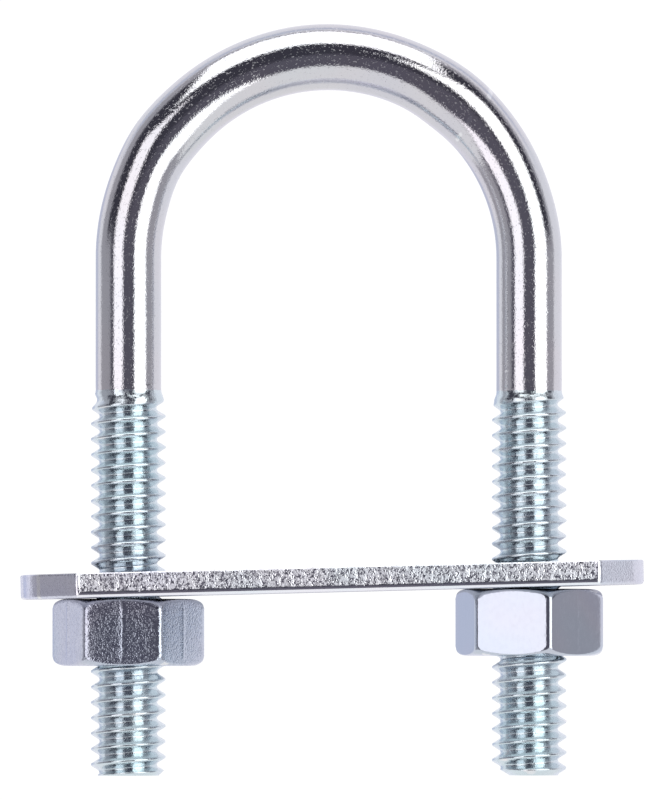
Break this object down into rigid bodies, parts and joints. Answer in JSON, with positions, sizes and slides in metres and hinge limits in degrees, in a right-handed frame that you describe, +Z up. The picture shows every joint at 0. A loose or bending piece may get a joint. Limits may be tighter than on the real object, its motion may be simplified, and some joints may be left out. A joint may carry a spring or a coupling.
{
  "type": "u-bolt",
  "caption": "Bent round rod with threaded legs, a flat strap plate across them and hex nuts under the plate, for clamping a pipe.",
  "frame": {"origin": "centre of the bend, on the centre line of the pipe that it goes round", "axes": "+X from the left leg to the right leg, +Y along the pipe, +Z up from the leg ends to the crown of the bend"},
  "size_m": [0.0511, 0.016, 0.0617],
  "materials": {
    "zinc_rod": "bright zinc plating on drawn steel rod, with faint drawing lines and rolled threads",
    "zinc_plate": "bright zinc plating on sheared strip, torn grain on the cut edges",
    "zinc_nut": "bright zinc plating on cold-formed steel"
  },
  "bodies": {
    "bent_rod": {"bent_rod": "zinc_rod"},
    "strap_plate": {"strap_plate": "zinc_plate"},
    "left_nut": {"left_nut": "zinc_nut"},
    "right_nut": {"right_nut": "zinc_nut"}
  },
  "joints": [
    {"name": "plate_slide", "type": "slide", "parent": "bent_rod", "child": "strap_plate", "axis": [0, 0, 1], "range_m": [-0.01905, 0.01397]},
    {"name": "left_nut_spin", "type": "hinge", "parent": "strap_plate", "child": "left_nut", "pos_m": [-0.0165, 0, -0.0307], "axis": [0, 0, 1], "range_deg": [-5401, 3961]},
    {"name": "right_nut_spin", "type": "hinge", "parent": "strap_plate", "child": "right_nut", "pos_m": [0.0165, 0, -0.0299], "axis": [0, 0, 1], "range_deg": [-5401, 3961]}
  ],
  "couplings": [
    {"joint": "left_nut_spin", "follows": "plate_slide", "rad_per_m": 4947.4},
    {"joint": "right_nut_spin", "follows": "plate_slide", "rad_per_m": 4947.4}
  ]
}
